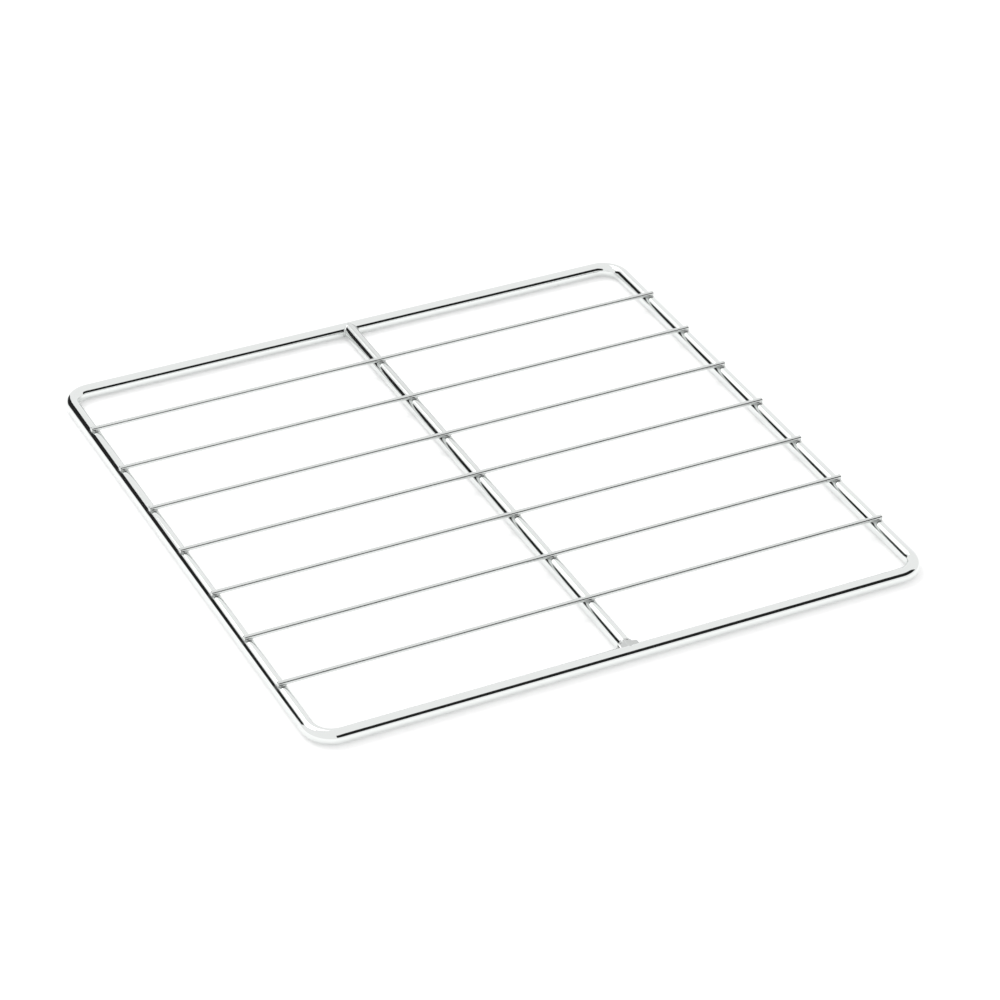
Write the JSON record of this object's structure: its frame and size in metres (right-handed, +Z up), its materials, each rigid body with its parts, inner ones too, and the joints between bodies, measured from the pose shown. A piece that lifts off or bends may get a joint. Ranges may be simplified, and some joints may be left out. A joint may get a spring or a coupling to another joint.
{
  "type": "fryer crumb screen",
  "caption": "Square crumb screen for a deep fryer: a round-cornered rod ring with a centre bar, and thin cross wires welded over the top.",
  "frame": {"origin": "middle of the ring, on the surface that its rods rest on", "axes": "+X to the right along the front rail, +Y from the front rail to the back rail, +Z up towards the cross wires"},
  "size_m": [0.343, 0.343, 0.0102],
  "materials": {
    "bright_rod": "bright polished",
    "satin_wire": "drawn wire, satin"
  },
  "bodies": {
    "root": {"frame_ring": "bright_rod", "centre_bar": "bright_rod", "cross_wire_1": "satin_wire", "cross_wire_2": "satin_wire", "cross_wire_3": "satin_wire", "cross_wire_4": "satin_wire", "cross_wire_5": "satin_wire", "cross_wire_6": "satin_wire", "cross_wire_7": "satin_wire"}
  },
  "joints": []
}
